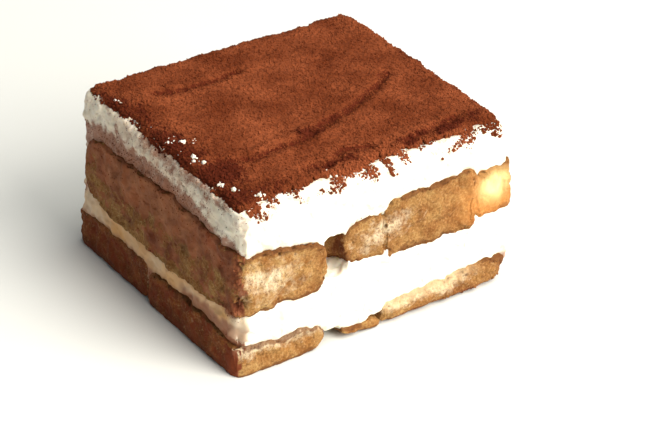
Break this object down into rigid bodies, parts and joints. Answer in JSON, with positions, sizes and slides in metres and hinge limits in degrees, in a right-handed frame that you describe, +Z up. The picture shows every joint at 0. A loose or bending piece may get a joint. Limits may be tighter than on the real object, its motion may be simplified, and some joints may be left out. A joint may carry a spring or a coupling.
{
  "type": "tiramisu portion",
  "caption": "Block-shaped portion of tiramisu: soaked sponge fingers in layers with mascarpone cream between and over them, under a coat of cocoa powder.",
  "frame": {"origin": "middle of the base, at the level that the portion stands on", "axes": "+Z up, +X along the long front cut from left to right, +Y from the front cut towards the back"},
  "size_m": [0.0952, 0.0818, 0.051],
  "materials": {
    "cocoa_powder": "dry cocoa powder, dull red-brown",
    "cream": "whipped mascarpone cream, soft ivory",
    "sponge": "cut sponge finger, golden brown with fine pores",
    "soaked_sponge": "coffee-soaked sponge finger, damp brown"
  },
  "bodies": {
    "root": {"cocoa_top": "cocoa_powder", "cream_upper": "cream", "cream_lower": "cream", "sponge_upper_left": "sponge", "sponge_upper_middle": "sponge", "sponge_upper_right": "sponge", "sponge_upper_end": "sponge", "sponge_lower_left": "soaked_sponge", "sponge_lower_right": "soaked_sponge", "sponge_lower_back": "soaked_sponge", "sponge_flake": "soaked_sponge"}
  },
  "joints": []
}
